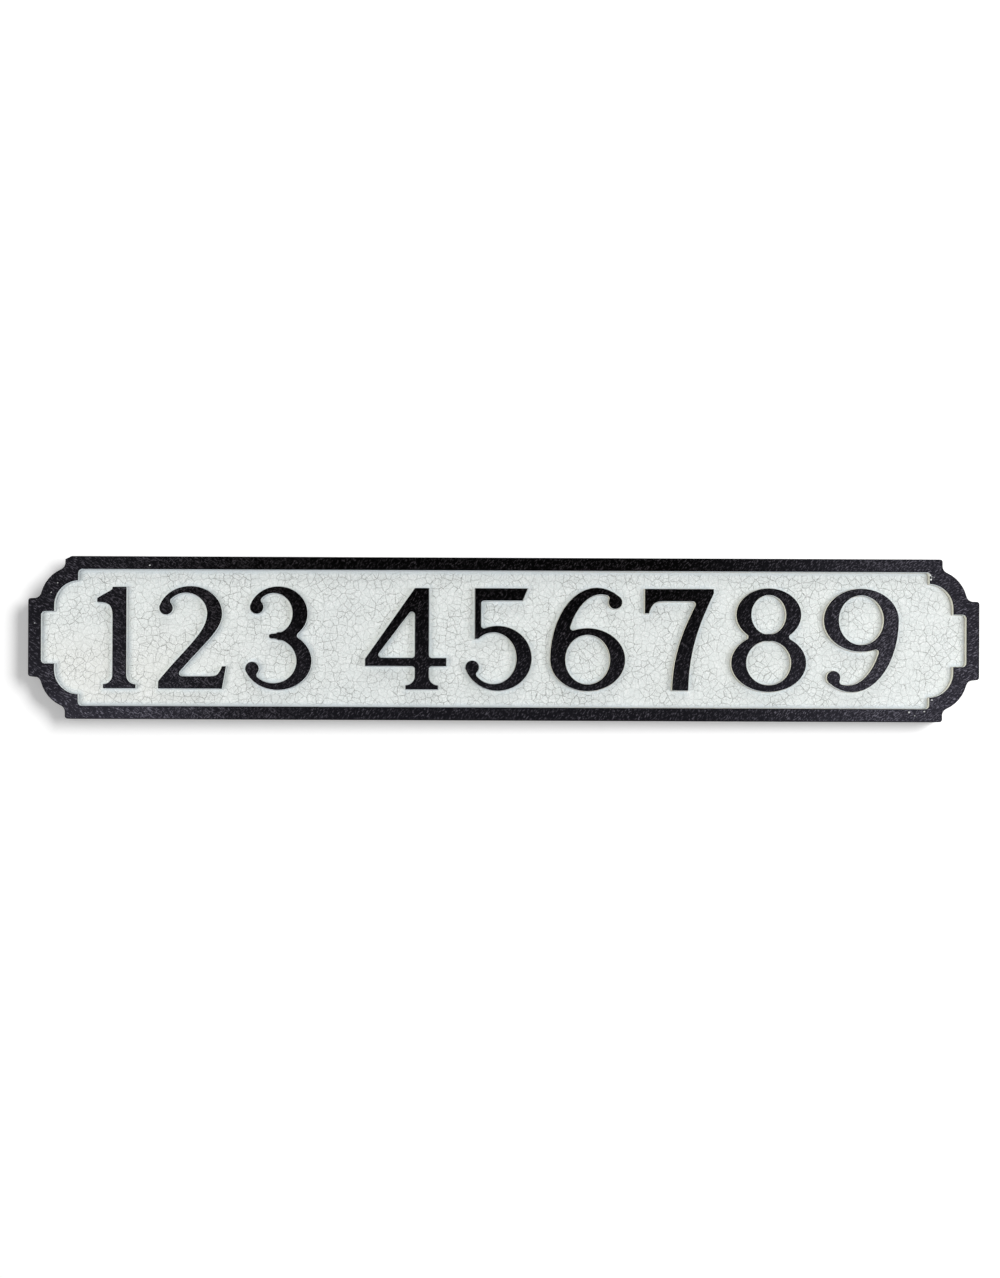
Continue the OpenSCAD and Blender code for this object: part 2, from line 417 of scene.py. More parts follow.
    def coat(self, tree: Tree, place: Socket, shore: Socket, grain: Socket) -> Socket:
        """Mixes the top coat: its cool and warm patches, its pale dabs, and painted shade along the
        walls.

        Args:
            tree: the node tree.
            place: where, in millimetres.
            shore: the distance from the nearest wall, in millimetres.
            grain: the noise that draws the dabs.

        Returns:
            The coat's colour.
        """
        x, _, z = parts_of(tree, place)
        # The cool patches gather towards the walls as painted shade.
        near = fade(tree, shore, *self.cool_shade_shore_mm)
        patches = fade(tree, mottle(tree, place, self.cool_mm, 3.0), *self.cool)
        body = blend(tree, sum_of(tree, "MULTIPLY", near, patches), self.paint, self.cool_paint)
        left = fade(tree, x, *self.warm_x_mm)
        low_left = sum_of(tree, "MULTIPLY", left, fade(tree, z, *self.warm_z_mm))
        warm = sum_of(tree, "MULTIPLY", low_left, fade(tree, shore, *self.warm_shore_mm))
        body = blend(tree, warm, body, self.warm_paint)
        body = blend(tree, fade(tree, grain, *self.dabs), body, self.pale_paint)
        # Painted shade: the coat darkens in the bands beside the upper and lower walls.
        shade_strip = fade(tree, sum_of(tree, "ABSOLUTE", z), *self.shade_strip_mm)
        return blend(tree, shade_strip, body, self.shade_strip_paint)

    def walls_and_foot(self, tree: Tree, place: Socket, colour: Socket, grain: Socket) -> Socket:
        """Lays the walls' painted shade and the foot line of dirt and shade over the top coat.

        Args:
            tree: the node tree.
            place: where, in millimetres.
            colour: the top coat with its cracks.
            grain: the noise that breaks up the foot line.

        Returns:
            The whole finish's colour.
        """
        to_right, _, up = parts_of(tree, add_node(tree, "ShaderNodeTexCoord").outputs["Normal"])
        # Painted shade by facing: walls that face down turn cool, walls that face left turn warm.
        colour = blend(tree, fade(tree, up, *self.turned), colour, self.shade_wall)
        colour = blend(tree, fade(tree, to_right, *self.turned), colour, self.warm_shade_wall)
        # The foot line is dirt in the pooled paint and painted shade in the crease.
        foot = sum_of(tree, "MULTIPLY", mark_of(tree, "foot"), fade(tree, grain, *self.grime_and_shade))
        on_right = fade(tree, parts_of(tree, place)[0], *self.grime_and_shade_x_mm)
        grime_and_shade = blend(tree, on_right, self.foot, self.warm_foot)
        return blend(tree, foot, colour, grime_and_shade)

    def material(self) -> bpy.types.Material:
        """Builds the finish. Its cracks are drawn in the panel's plane and slide along with the
        depth, so that they also run down the walls.

        Returns:
            The material.
        """
        material, tree, place = start_material("off_white_crackle_paint")
        x, y, z = parts_of(tree, place)
        slid = {0: sum_of(tree, "ADD", x, y), 1: sum_of(tree, "ADD", z, y)}
        slanted = add_node(tree, "ShaderNodeCombineXYZ", slid).outputs[0]
        shore = mark_of(tree, "shore_mm")
        lines = self.crack_lines(tree, slanted)
        lines = sum_of(tree, "MULTIPLY", lines, fade(tree, shore, *self.shore_mm))
        calm = fade(tree, mottle(tree, slanted, self.calm_mm), *self.calm)
        lines = sum_of(tree, "MULTIPLY", lines, calm)
        grain = mottle(tree, place, self.dab_mm, 3.0)
        colour = blend(tree, lines, self.coat(tree, place, shore, grain), self.crack)
        colour = self.walls_and_foot(tree, place, colour, grain)
        sunk = sum_of(tree, "MULTIPLY", lines, -1.0)
        height = sum_of(tree, "MULTIPLY_ADD", grain, self.grain_relief, sunk)
        finish_material(tree, colour, self.roughness, self.specular, height, self.relief_mm)
        return material


@dataclass(frozen=True)
class RidgeLayer:
    """One layer of ridges in the black paint.

    Attributes:
        slant_deg: how far its ridges are turned up from the horizontal.
        long_mm, wide_mm: length and width of the noise that draws them.
        middle_mm: the place along the board where the layer is strongest.
        reach_mm: how far from there it has gone.
    """

    slant_deg: float
    long_mm: float
    wide_mm: float
    middle_mm: float
    reach_mm: float


@dataclass(frozen=True)
class BlackCrackle:
    """Black paint rolled over the same crackle medium: its ridges stand up round small cells and
    catch the light on one side, so the eye sees short slanted grey strokes on a deep black, and a
    plain black line along each arris, where the roller pressed the paint smooth.

    Attributes:
        paint, sheen_paint: the paint, and the painted sheen that greys it towards the ends and foot.
        stroke, sheen_stroke: the painted highlight on a ridge's lit side, on either.
        chip: the coat below, in chips and flecks.
        ridges: the layers of ridges.
        crest: the span of the noise over which a ridge comes up.
        layer_core: share of a layer's reach over which it is full.
        layer_shift_mm: how far each layer is moved on, so that it has ridges of its own.
        bend_mm: length and reach of a ridge's bends.
        calm_mm, calm: size of the stretches with faint ridges, and their span of the noise.
        off_rim: the span of the rim mark over which the ridges come up.
        right_mm, left_mm, low_mm: how painted sheen comes up towards either end and down the board.
        corner_x_mm, corner_z_mm: the same for the lower left corner.
        ragged_mm: length and reach of the bends in a speck's rim.
        relief_mm: height of a ridge.
        roughness, specular: the shader's, for flat black paint.
        wear: the chips, flecks and scratches.
    """

    paint: str = "#020202"
    sheen_paint: str = "#29282f"
    stroke: str = "#353235"
    sheen_stroke: str = "#6d6b76"
    chip: str = "#e4e6e4"
    ridges: tuple[RidgeLayer, ...] = (
        RidgeLayer(52.0, 2.8, 0.72, 20.0, 400.0),
        RidgeLayer(-30.0, 3.1, 0.7, -390.0, 260.0),
        RidgeLayer(25.0, 3.0, 0.72, 390.0, 150.0),
    )
    crest: Span = (0.57, 0.65)
    layer_core: float = 0.6
    layer_shift_mm: float = 31.0
    bend_mm: tuple[float, float] = (3.0, 0.5)
    calm_mm: float = 9.0
    calm: Span = (0.35, 0.62, 0.7, 1.0)
    off_rim: Span = (0.3, 0.9)
    right_mm: Span = (120.0, 370.0, 0.0, 0.72)
    left_mm: Span = (-180.0, -375.0, 0.0, 0.36)
    low_mm: Span = (40.0, -65.0, 0.0, 0.33)
    corner_x_mm: Span = (-200.0, -300.0, 0.0, 0.5)
    corner_z_mm: Span = (-38.0, -58.0)
    ragged_mm: tuple[float, float] = (0.9, 0.35)
    relief_mm: float = 0.05
    roughness: float = 0.5
    specular: float = 0.015
    wear: tuple[Speck, ...] = (
        Speck(-316.6, -19.1, 3.2, 1.0, 65.0),
        Speck(-283.0, 57.8, 1.2, 0.9, 0.0, 0.8),
        Speck(-361.6, 35.8, 1.3, 0.8, 40.0, 0.5),
        Speck(-356.5, 43.5, 1.1, 0.8, 0.0, 0.45),
        Speck(-374.7, 11.2, 1.0, 0.9, 0.0, 0.4),
        Speck(-237.0, -18.2, 8.0, 0.7, 1.0, 0.6),
        Speck(339.4, 53.6, 3.0, 1.0, -42.0, 0.9),
        Speck(340.4, 52.2, 2.0, 1.2, 30.0),
        Speck(341.6, 51.2, 1.1, 0.9, 0.0, 0.7),
        Speck(341.2, 48.9, 1.5, 1.3, 20.0),
        Speck(343.6, 50.6, 0.9, 0.8, 0.0, 0.4),
        Speck(342.2, -47.4, 1.4, 1.1, 0.0, 0.7),
        Speck(324.0, -57.2, 1.4, 1.2, 0.0, 0.8),
        Speck(336.2, -56.5, 1.2, 1.0, 0.0, 0.7),
        Speck(328.5, -60.0, 1.0, 0.9, 0.0, 0.5),
    )

    def strokes(self, tree: Tree, place: Socket) -> Socket:
        """Draws the lit sides of the ridges: noise that is drawn out along a slant, of which only
        the crests show. Each layer fades out away from its own stretch of the board.

        Args:
            tree: the node tree.
            place: where, in millimetres.

        Returns:
            A level from 0 on plain paint to 1 on a lit ridge.
        """
        bent = shaken(tree, place, *self.bend_mm)
        along = parts_of(tree, place)[0]
        total = None
        for number, layer in enumerate(self.ridges):
            sizes = (layer.long_mm, layer.wide_mm, layer.wide_mm)
            shift = (number * self.layer_shift_mm, 0, 0)
            spot = drawn_out(tree, bent, layer.slant_deg, sizes, shift)
            crest = fade(tree, mottle(tree, spot, 1.0, 1.0), *self.crest)
            off = sum_of(tree, "ABSOLUTE", sum_of(tree, "SUBTRACT", along, layer.middle_mm))
            there = fade(tree, off, layer.reach_mm, self.layer_core * layer.reach_mm)
            crest = sum_of(tree, "MULTIPLY", crest, there)
            total = crest if total is None else sum_of(tree, "MAXIMUM", total, crest)
        calm = fade(tree, mottle(tree, place, self.calm_mm), *self.calm)
        return sum_of(tree, "MULTIPLY", total, calm)

    def sheen_share(self, tree: Tree, place: Socket) -> Socket:
        """Maps where the paint is greyer: more towards both ends and the lower edge, most at the
        lower left.

        Args:
            tree: the node tree.
            place: where, in millimetres.

        Returns:
            The share of painted sheen.
        """
        # Painted sheen: the black greys towards both ends and the lower edge, most at the lower left.
        x, _, z = parts_of(tree, place)
        corner_x, corner_z = fade(tree, x, *self.corner_x_mm), fade(tree, z, *self.corner_z_mm)
        corner = sum_of(tree, "MULTIPLY", corner_x, corner_z)
        total = fade(tree, x, *self.right_mm)
        for more in (fade(tree, x, *self.left_mm), fade(tree, z, *self.low_mm), corner):
            total = sum_of(tree, "ADD", total, more)
        return total

    def bared(self, tree: Tree, place: Socket) -> Socket:
        """Maps where the coat below shows: the strongest of all specks, with ragged rims.

        Args:
            tree: the node tree.
            place: where, in millimetres.

        Returns:
            How much of the coat below shows.
        """
        ragged = shaken(tree, place, *self.ragged_mm)
        masks = [speck.mask(tree, ragged) for speck in self.wear]
        return functools.reduce(lambda first, second: sum_of(tree, "MAXIMUM", first, second), masks)

    def material(self) -> bpy.types.Material:
        """Builds the finish: painted sheen, painted highlights inside the smooth rims, and chips.

        Returns:
            The material.
        """
        material, tree, place = start_material("black_crackle_paint")
        off_rim = fade(tree, mark_of(tree, "rim"), *self.off_rim)
        # The strokes are painted highlights: a lighter colour on the lit side of each ridge, besides its
        # bump.
        lines = sum_of(tree, "MULTIPLY", self.strokes(tree, place), off_rim)
        # Painted sheen greys the paint and brightens its painted highlights.
        sheen = self.sheen_share(tree, place)
        body = blend(tree, sheen, self.paint, self.sheen_paint)
        lit = blend(tree, sheen, self.stroke, self.sheen_stroke)
        colour = blend(tree, lines, body, lit)
        colour = blend(tree, self.bared(tree, place), colour, self.chip)
        finish_material(tree, colour, self.roughness, self.specular, lines, self.relief_mm)
        return material


@dataclass(frozen=True)
class RawBoard:
    """Medium-density fibreboard, sawn and left bare: pressed wood fibre of one warm tan, with fine
    darker and paler fibres, and a haze of black overspray round its edges.

    Attributes:
        board: the pressed fibre's mean colour.
        dark_fibre, pale_fibre: single fibres.
        overspray: the black mist that came round the edges.
        fibre_mm, fibre_w_mm: length and width of a fibre as drawn. Real ones are about a third of
            that, too fine to show.
        dark, pale: the spans of the noise over which dark and pale fibres come up.
        mist_mm: how far the overspray reaches in from an edge.
        mist_edge: how thick it is right at the edge.
        mist_cloud_mm, mist_cloud: size and strength of its clouds.
        mist: the span of its thickness over which it comes up.
        plates_mm: half lengths and heights of the three rectangles that make the board's outline.
        relief_mm: height of a fibre.
        roughness, specular: the shader's, for bare fibre.
    """

    board: str = "#b08f67"
    dark_fibre: str = "#83643f"
    pale_fibre: str = "#cdb08a"
    overspray: str = "#2b2826"
    fibre_mm: float = 3.0
    fibre_w_mm: float = 0.625
    dark: Span = (0.5, 0.34, 0.0, 0.75)
    pale: Span = (0.54, 0.7, 0.0, 0.6)
    mist_mm: float = 6.0
    mist_edge: float = 0.55
    mist_cloud_mm: float = 9.0
    mist_cloud: float = 0.9
    mist: Span = (0.3, 1.0, 0.0, 0.92)
    plates_mm: tuple[tuple[float, float], ...] = ((350.5, 65.0), (370.5, 56.9), (380.0, 31.3))
    relief_mm: float = 0.006
    roughness: float = 0.85
    specular: float = 0.25

    def past_outline(self, tree: Tree, place: Socket) -> Socket:
        """Measures how far a point lies past the outline: over the three rectangles, the least of
        the greater of how far it lies past the end and past the top.

        Args:
            tree: the node tree.
            place: where, in millimetres.

        Returns:
            Millimetres past the outline, negative inside it.
        """
        x, _, z = parts_of(tree, place)
        from_x, from_z = (sum_of(tree, "ABSOLUTE", part) for part in (x, z))
        past = None
        for half_l, half_h in self.plates_mm:
            past_end = sum_of(tree, "SUBTRACT", from_x, half_l)
            past_top = sum_of(tree, "SUBTRACT", from_z, half_h)
            beyond = sum_of(tree, "MAXIMUM", past_end, past_top)
            past = beyond if past is None else sum_of(tree, "MINIMUM", past, beyond)
        return past

    def material(self) -> bpy.types.Material:
        """Builds the finish from noise stretched along the board, under the overspray.

        Returns:
            The material.
        """
        material, tree, place = start_material("raw_fibreboard")
        per_mm = (1 / self.fibre_mm, 1 / self.fibre_w_mm, 1 / self.fibre_w_mm)
        fibres = mottle(tree, vector_of(tree, "MULTIPLY", place, per_mm), 1.0, 3.0)
        body = blend(tree, fade(tree, fibres, *self.dark), self.board, self.dark_fibre)
        body = blend(tree, fade(tree, fibres, *self.pale), body, self.pale_fibre)
        past = self.past_outline(tree, place)
        thick = sum_of(tree, "MULTIPLY_ADD", past, 1 / self.mist_mm, self.mist_edge)
        clouds = mottle(tree, place, self.mist_cloud_mm, 5.0)
        thick = sum_of(tree, "MULTIPLY_ADD", clouds, self.mist_cloud, thick)
        colour = blend(tree, fade(tree, thick, *self.mist), body, self.overspray)
        finish_material(tree, colour, self.roughness, self.specular, fibres, self.relief_mm)
        return material


@dataclass(frozen=True)
class Ring:
    """One ring of a profile that is carried along a contour.

    Attributes:
        inset: how far the ring lies inside the black stretch, negative on the panel's side.
        y: its depth in the frame.
        rim: 1 where the black paint has its full texture, 0 on the smooth arris.
        foot: 1 where paint has pooled at the foot of a wall, and dirt and painted shade are laid.
    """

    inset: float
    y: float
    rim: float = 0.0
    foot: float = 0.0


@dataclass
class Shell:
    """The dressed board's mesh while it is put together, as arrays.

    Attributes:
        points, marks: places, and for each the rim, foot and shore marks.
        faces, paints: for each run of faces, rows of point numbers and one paint for each row.
    """

    points: list[np.ndarray] = field(default_factory=list)
    marks: list[np.ndarray] = field(default_factory=list)
    faces: list[np.ndarray] = field(default_factory=list)
    paints: list[np.ndarray] = field(default_factory=list)

    def add_points(self, points: np.ndarray, marks: np.ndarray | None = None) -> np.ndarray:
        """Adds points.

        Args:
            points: their places.
            marks: their marks, or none for zeros.

        Returns:
            Their numbers.
        """
        first = sum(len(p) for p in self.points)
        self.points.append(points)
        self.marks.append(np.zeros((len(points), 3)) if marks is None else marks)
        return np.arange(first, first + len(points))

    def add_faces(self, faces: np.ndarray, paint: np.ndarray | Paint) -> None:
        """Adds faces of one size, with one paint or one for each."""
        self.faces.append(faces)
        self.paints.append(np.broadcast_to(np.asarray(paint, np.int32), len(faces)))

    def add_flat(self, rims: list[Rim], loose: np.ndarray, paint: Paint, faces_front: bool) -> None:
        """Fills a flat stretch between closed rims with triangles.

        Args:
            rims: for each rim the numbers of its points, and of those that follow them. The stretch
                lies to their left, as seen from the front.
            loose: numbers of points inside the stretch that the triangles also use.
            paint: the paint.
            faces_front: whether the stretch looks to the front.
        """
        starts, ends = (np.concatenate(half) for half in zip(*rims, strict=True))
        used = np.concatenate([np.unique(starts), loose])
        flat = np.concatenate(self.points)[used][:, [0, 2]]
        row = np.full(used.max() + 1, -1)
        row[used] = np.arange(len(used))
        edges = np.column_stack([row[starts], row[ends]])
        _, _, found, origin, _, _ = delaunay_2d_cdt(flat.tolist(), edges.tolist(), [], 0, SAME_POINT)
        triangles = np.array(origin)[:, 0][np.array(found)]
        kept = triangles[inside(flat[triangles].mean(1), flat[edges[:, 0]], flat[edges[:, 1]])]
        self.add_faces(used[kept if faces_front else kept[:, ::-1]], paint)

    def mesh(self, name: str) -> bpy.types.Mesh:
        """Makes the mesh, with its paints and marks.

        Args:
            name: the mesh's name.

        Returns:
            The mesh.
        """
        made = bpy.data.meshes.new(name)
        faces = [face for run in self.faces for face in run.tolist()]
        made.from_pydata(np.concatenate(self.points).tolist(), [], faces)
        made.polygons.foreach_set("material_index", np.concatenate(self.paints))
        marks = np.concatenate(self.marks).astype(np.float32)
        for column, mark in enumerate(("rim", "foot", "shore_mm")):
            values = made.attributes.new(mark, "FLOAT", "POINT").data
            values.foreach_set("value", marks[:, column])
        made.shade_smooth()
        made.set_sharp_from_angle(angle=math.radians(SHARP_DEG))
        return made


def inside(places: np.ndarray, starts: np.ndarray, ends: np.ndarray) -> np.ndarray:
    """Tells which places lie inside closed rims: a line from there to the right crosses an odd
    number of the rims' edges.

    Args:
        places: the places, in a plane.
        starts, ends: the rims' edges.

    Returns:
        True for each place inside.
    """
    odd = np.zeros(len(places), bool)
    for some in np.array_split(np.arange(len(places)), len(places) // BATCH + 1):
        x, z = places[some, 0, None], places[some, 1, None]
        spans = (starts[:, 1] > z) != (ends[:, 1] > z)
        rise = np.where(ends[:, 1] == starts[:, 1], 1.0, ends[:, 1] - starts[:, 1])
        meets = starts[:, 0] + (z - starts[:, 1]) / rise * (ends[:, 0] - starts[:, 0])
        odd[some] = (spans & (meets > x)).sum(1) % 2 == 1
    return odd


def distance_to(places: np.ndarray, starts: np.ndarray, ends: np.ndarray) -> np.ndarray:
    """Measures how far places lie from the nearest of some edges: from the foot of the
    perpendicular, held between the edge's ends.

    Args:
        places: the places, in a plane.
        starts, ends: the edges.

    Returns:
        One distance for each place.
    """
    run = ends - starts
    least = np.empty(len(places))
    for some in np.array_split(np.arange(len(places)), len(places) // BATCH + 1):
        away = places[some, None] - starts
        along = np.clip((away * run).sum(2) / (run * run).sum(1), 0, 1)
        least[some] = np.linalg.norm(away - along[..., None] * run, axis=2).min(1)
    return least


@dataclass
class NameBoard:
    """The one board of the sign: the frame's contours with eased arrises and pooled paint.

    Attributes:
        front, floor: depths of the border's top and of the panel's floor.
        arris: radius to which paint and sanding ease an outside edge.
        pool: radius of the paint that pools at the foot of a wall.
        grime_and_shade_rise: height on a wall at which the foot line of dirt and shade begins.
        rim_w: width of the smooth black line along an arris.
        side_rims: distances from the front and from the back over which the side's ridges come up.
        grime_and_shade_w: width over which the foot line fades out across the floor.
        arris_steps: how many flats make up a round.
        grid, row_step: spacing of the floor's own points along and up the board. They carry how
            far they lie from a wall.
        grid_gap: how far those points stay clear of the floor's rims.
        keyhole_x, keyhole_w, keyhole_h: where the keyhole slots are, and half the sizes of a box
            that holds one.
        slot_floor: depth that the slots don't reach.
        weld: distance at which the frame's points count as one. It also takes out edges so short
            that they would turn over when the contour is inset.
        plane_fit: how near to a plane a face's corners are that lies in it.
        least_mitre: what keeps the move of a needle-sharp corner's point short.
        white, black, raw: the finishes.
    """

    front: float = -15 * MM
    floor: float = -10 * MM
    arris: float = 0.3 * MM
    pool: float = 0.35 * MM
    grime_and_shade_rise: float = 0.875 * MM
    rim_w: float = 0.6 * MM
    side_rims: tuple[float, float] = (1.5 * MM, 1.2 * MM)
    grime_and_shade_w: float = 0.55 * MM
    arris_steps: int = 3
    grid: float = 3 * MM
    row_step: float = 2.61 * MM
    grid_gap: float = 0.9 * MM
    keyhole_x: float = 280 * MM
    keyhole_w: float = 8 * MM
    keyhole_h: float = 40 * MM
    slot_floor: float = -8 * MM
    weld: float = 0.12 * MM
    plane_fit: float = 0.02 * MM
    least_mitre: float = 0.15
    white: WhiteCrackle = field(default_factory=WhiteCrackle)
    black: BlackCrackle = field(default_factory=BlackCrackle)
    raw: RawBoard = field(default_factory=RawBoard)

    def frame_mesh(self, node: bpy.types.Object) -> tuple[np.ndarray, np.ndarray]:
        """Reads a CAD node's triangles and welds them.

        Args:
            node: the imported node, whose mesh is loose triangles.

        Returns:
            Points as rows, and triangles as rows of point numbers.
        """
        shell = bmesh.new()
        shell.from_mesh(node.data)
        bmesh.ops.remove_doubles(shell, verts=shell.verts, dist=self.weld)
        bmesh.ops.triangulate(shell, faces=shell.faces)
        welded = bpy.data.meshes.new("welded")
        shell.to_mesh(welded)
        shell.free()
        points = np.empty(len(welded.vertices) * 3)
        welded.vertices.foreach_get("co", points)
        triangles = np.empty(len(welded.polygons) * 3, np.int64)
        welded.polygons.foreach_get("vertices", triangles)
        bpy.data.meshes.remove(welded)
        return points.reshape(-1, 3), triangles.reshape(-1, 3)

    def lies_at(self, points: np.ndarray, triangles: np.ndarray, depth: float) -> np.ndarray:
        """Tells which triangles lie in the plane at a depth."""
        return (np.abs(points[triangles, 1] - depth) < self.plane_fit).all(1)

    def border(self, triangles: np.ndarray, count: int) -> Rim:
        """Finds the directed edges round some triangles: those whose reverse isn't an edge of
        another.

        Args:
            triangles: rows of point numbers.
            count: how many points there are.

        Returns:
            The point that each such edge starts from, and the one that it runs to.
        """
        start = triangles.ravel()
        end = np.roll(triangles, -1, axis=1).ravel()
        lone = ~np.isin(start * count + end, end * count + start)
        return start[lone], end[lone]

    def loops(self, ahead: np.ndarray) -> np.ndarray:
        """Numbers the closed loops: each edge takes the lowest number that it reaches by following
        the loop one, two, four and so on edges ahead.

        Args:
            ahead: for each edge, the next one round its loop.

        Returns:
            Each edge's loop, as its lowest edge number.
        """
        label = np.arange(len(ahead))
        for _ in range(int(math.log2(len(ahead))) + 1):
            label = np.minimum(label, label[ahead])
            ahead = ahead[ahead]
        return label

    def mitres(self, flat: np.ndarray, ahead: np.ndarray) -> np.ndarray:
        """Works out how each contour point moves when the contour is inset by one unit: the sum of
        its two edges' left normals, over one plus their dot product.

        Args:
            flat: the points' x and z.
            ahead: for each point, the row of the next one round its loop.

        Returns:
            A move in x and z for each point.
        """
        run = flat[ahead] - flat
        run /= np.linalg.norm(run, axis=1, keepdims=True)
        after = np.stack([-run[:, 1], run[:, 0]], axis=1)
        before = np.empty_like(after)
        before[ahead] = after
        bend = 1 + (before * after).sum(1, keepdims=True)
        return (before + after) / np.maximum(bend, self.least_mitre)

    def eased(self, y: float, side: float) -> list[Ring]:
        """Rings of a quarter round between a flat face and a wall: the inset is radius times one
        less the sine, and the depth is radius times one less the cosine of the turn.

        Args:
            y: depth of the flat face.
            side: 1 if the board lies behind the face, -1 if it lies in front.

        Returns:
            The rings, from the flat face to the wall.
        """
        turns = np.linspace(0, math.pi / 2, self.arris_steps + 1)
        insets = self.arris * (1 - np.sin(turns))
        depths = y + side * self.arris * (1 - np.cos(turns))
        return [Ring(inset, depth) for inset, depth in zip(insets, depths, strict=True)]

    def pooled(self) -> list[Ring]:
        """Rings of the hollow quarter round that paint makes between a wall and the floor, by the
        same formula with its centre on the other side.

        Returns:
            The rings, from the wall to the floor.
        """
        turns = np.linspace(0, math.pi / 2, self.arris_steps + 1)
        insets = -self.pool * (1 - np.cos(turns))
        depths = self.floor - self.pool * (1 - np.sin(turns))
        return [Ring(inset, depth, foot=1.0) for inset, depth in zip(insets, depths, strict=True)]

    def panel_profile(self) -> tuple[list[Ring], list[Paint]]:
        """Draws the profile down a panel wall: black rim, arris, wall, pooled paint, and floor.

        Returns:
            The rings, and the paint of each band between two of them.
        """
        rings = [
            Ring(self.arris + self.rim_w, self.front, rim=1.0),
            *self.eased(self.front, 1.0),
            Ring(0.0, self.floor - self.grime_and_shade_rise),
            *self.pooled(),
            Ring(-self.pool - self.grime_and_shade_w, self.floor),
        ]
        black = 1 + self.arris_steps
        return rings, [Paint.BLACK] * black + [Paint.WHITE] * (len(rings) - 1 - black)

    def side_profile(self) -> tuple[list[Ring], list[Paint]]:
        """Draws the profile over the board's outer edge: black rim, arris, side and back arris.

        Returns:
            The rings, and the paint of each band between two of them.
        """
        rings = [
            Ring(self.arris + self.rim_w, self.front, rim=1.0),
            *self.eased(self.front, 1.0),
            Ring(0.0, self.front + self.side_rims[0], rim=1.0),
            Ring(0.0, -self.side_rims[1], rim=1.0),
            *self.eased(0.0, -1.0)[::-1],
        ]
        return rings, [Paint.BLACK] * (len(rings) - 1)

    def carry(self, shell: Shell, flat: np.ndarray, mitre: np.ndarray, ahead: np.ndarray,
              profile: list[Ring], paints: list[Paint]) -> tuple[Rim, Rim]:
        """Carries a profile along closed contours: ring k is every point plus its mitre times the
        ring's inset, at the ring's depth, and a quad joins each edge to its copy on the next ring.

        Args:
            shell: what the rings and quads go into.
            flat, mitre, ahead: the contour's points, their moves and the row that follows each.
            profile: the rings in order.
            paints: the paint of each band between two rings.

        Returns:
            The first and the last ring, each as its points' numbers and those that follow them.
        """
        count = len(flat)
        inset = np.array([ring.inset for ring in profile])
        placed = flat[None] + mitre[None] * inset[:, None, None]
        depth = np.repeat([ring.y for ring in profile], count)
        shore = np.maximum(-inset / MM, 0)
        marks = np.column_stack([[ring.rim for ring in profile], [ring.foot for ring in profile], shore])
        points = np.column_stack([placed[..., 0].ravel(), depth, placed[..., 1].ravel()])
        numbers = shell.add_points(points, np.repeat(marks, count, axis=0)).reshape(-1, count)
        after = numbers[:, ahead]
        quads = np.stack([numbers[:-1], numbers[1:], after[1:], after[:-1]], axis=2)
        shell.add_faces(quads.reshape(-1, 4), np.repeat(np.array(paints, np.int32), count))
        return (numbers[0], after[0]), (numbers[-1], after[-1])

    def floor_points(self, starts: np.ndarray, ends: np.ndarray) -> tuple[np.ndarray, np.ndarray]:
        """Lays a staggered grid over the panel's floor.

        Args:
            starts, ends: edges round the floor.

        Returns:
            The points that lie inside and clear of the rims, and how far each lies from a wall.
        """
        low, high = starts.min(0), starts.max(0)
        columns = np.arange(low[0], high[0], self.grid)
        x, z = np.meshgrid(columns, np.arange(low[1], high[1], self.row_step))
        x[1::2] += self.grid / 2
        places = np.column_stack([x.ravel(), z.ravel()])
        places = places[inside(places, starts, ends)]
        from_rim = distance_to(places, starts, ends)
        clear = from_rim > self.grid_gap
        return places[clear], from_rim[clear] + self.pool + self.grime_and_shade_w

    def add_edges(self, shell: Shell, points: np.ndarray, triangles: np.ndarray) -> list[Rim]:
        """Carries the panel's and the side's profiles round the contours of the frame's front.

        Args:
            shell: what they go into.
            points, triangles: the frame's mesh.

        Returns:
            The panel's upper rims, its foot, the side's front rim, and its back rim.
        """
        at_front = self.lies_at(points, triangles, self.front)
        start, end = self.border(triangles[at_front], len(points))
        order = np.argsort(start)
        ahead = order[np.searchsorted(start[order], end)]
        label = self.loops(ahead)
        flat = points[start][:, [0, 2]]
        mitre = self.mitres(flat, ahead)
        outer = label == label[np.argmax(flat[:, 0])]
        rims = []
        for picked, drawn in ((~outer, self.panel_profile()), (outer, self.side_profile())):
            rows = np.flatnonzero(picked)
            new_row = np.full(len(flat), -1)
            new_row[rows] = np.arange(len(rows))
            rims += self.carry(shell, flat[rows], mitre[rows], new_row[ahead[rows]], *drawn)
        return rims

    def add_slots(self, shell: Shell, points: np.ndarray, triangles: np.ndarray) -> Rim:
        """Adds the keyhole slots: the frame's own faces near where the keyholes are, except those
        that lie in front of the slots' floor or in the back's plane.

        Args:
            shell: what they go into.
            points, triangles: the frame's mesh.

        Returns:
            The slots' rims at the back.
        """
        middle = points[triangles].mean(1)
        beside = np.abs(np.abs(middle[:, 0]) - self.keyhole_x) < self.keyhole_w
        near = beside & (np.abs(middle[:, 2]) < self.keyhole_h) & (middle[:, 1] > self.slot_floor)
        slots = triangles[near & ~self.lies_at(points, triangles, 0.0)]
        used, rows = np.unique(slots, return_inverse=True)
        slots = shell.add_points(points[used])[rows.reshape(slots.shape)]
        shell.add_faces(slots, Paint.RAW)
        return self.border(slots, int(slots.max()) + 1)

